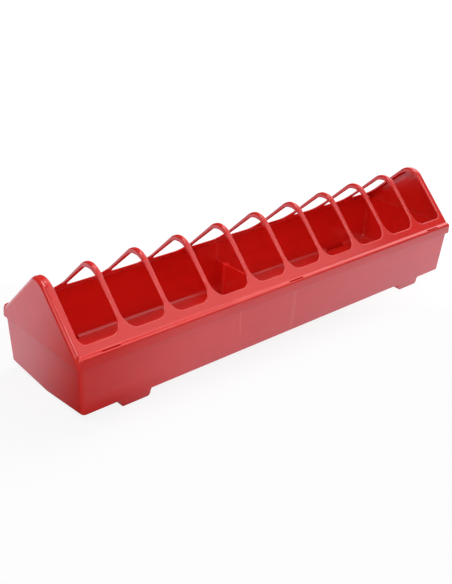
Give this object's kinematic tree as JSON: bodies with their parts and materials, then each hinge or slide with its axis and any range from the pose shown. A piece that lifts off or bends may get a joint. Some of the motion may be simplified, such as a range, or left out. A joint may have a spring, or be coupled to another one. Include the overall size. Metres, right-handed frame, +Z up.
{
  "type": "poultry feed trough",
  "caption": "Long moulded plastic chick trough with a V bottom, moulded feet and a clip-on gabled lid of arched bars with open feeding bays between them.",
  "frame": {"origin": "on the ground under the middle of the trough, between the four feet", "axes": "+X along the trough, +Y across it, +Z up out of the ground"},
  "size_m": [0.5, 0.1216, 0.1128],
  "materials": {
    "red_plastic": "satin moulded red polypropylene"
  },
  "bodies": {
    "trough_body": {"trough": "red_plastic"},
    "lid_body": {"grille_lid": "red_plastic"}
  },
  "joints": [
    {"name": "lid_lift", "type": "slide", "parent": "trough_body", "child": "lid_body", "axis": [0, 0, 1], "range_m": [0, 0.06]}
  ]
}
